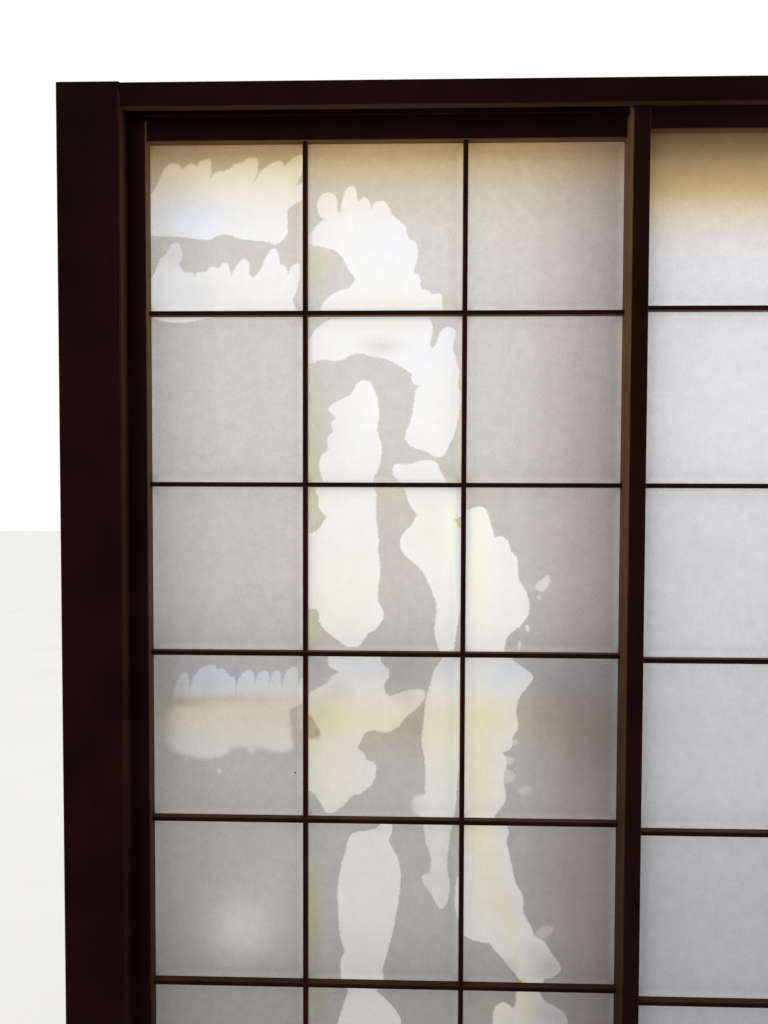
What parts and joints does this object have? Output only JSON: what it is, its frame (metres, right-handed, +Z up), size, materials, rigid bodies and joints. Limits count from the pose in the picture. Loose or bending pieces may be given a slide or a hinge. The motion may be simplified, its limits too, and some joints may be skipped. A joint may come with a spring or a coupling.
{
  "type": "shoji sliding screen",
  "caption": "Pair of paper-covered wooden lattice sliding screens, closed, in a post frame with a grooved head track and sill track.",
  "frame": {"origin": "middle of the frame's foot: midway between the posts' outer sides and their room and back faces, on the plane that posts and sill stand on", "axes": "+Z up, +X to the right as seen from the room, -Y towards the room, where the lattice shows; the paper is on the +Y side of the lattice"},
  "size_m": [1.918, 0.105, 1.949],
  "materials": {
    "frame_wood": "dark red-brown stained softwood, satin",
    "screen_wood": "dark red-brown stained softwood, satin",
    "lattice_wood": "dark red-brown stained softwood, satin",
    "marked_paper": "aged fibrous paper with pale damp marks, matt",
    "plain_paper": "aged fibrous paper, matt"
  },
  "bodies": {
    "frame": {"left_post": "frame_wood", "right_post": "frame_wood", "head_track": "frame_wood", "sill_track": "frame_wood"},
    "rear_screen": {"rear_screen_left_stile": "screen_wood", "rear_screen_right_stile": "screen_wood", "rear_screen_top_rail": "screen_wood", "rear_screen_bottom_rail": "screen_wood", "rear_screen_upright_bar_1": "lattice_wood", "rear_screen_upright_bar_2": "lattice_wood", "rear_screen_crossbar_1": "lattice_wood", "rear_screen_crossbar_2": "lattice_wood", "rear_screen_crossbar_3": "lattice_wood", "rear_screen_crossbar_4": "lattice_wood", "rear_screen_crossbar_5": "lattice_wood", "rear_screen_paper": "marked_paper"},
    "front_screen": {"front_screen_left_stile": "screen_wood", "front_screen_right_stile": "screen_wood", "front_screen_top_rail": "screen_wood", "front_screen_bottom_rail": "screen_wood", "front_screen_upright_bar_1": "lattice_wood", "front_screen_upright_bar_2": "lattice_wood", "front_screen_crossbar_1": "lattice_wood", "front_screen_crossbar_2": "lattice_wood", "front_screen_crossbar_3": "lattice_wood", "front_screen_crossbar_4": "lattice_wood", "front_screen_crossbar_5": "lattice_wood", "front_screen_paper": "plain_paper"}
  },
  "joints": [
    {"name": "rear_screen_slide", "type": "slide", "parent": "frame", "child": "rear_screen", "axis": [1, 0, 0], "range_m": [0, 0.839]},
    {"name": "front_screen_slide", "type": "slide", "parent": "frame", "child": "front_screen", "axis": [-1, 0, 0], "range_m": [0, 0.839]}
  ]
}
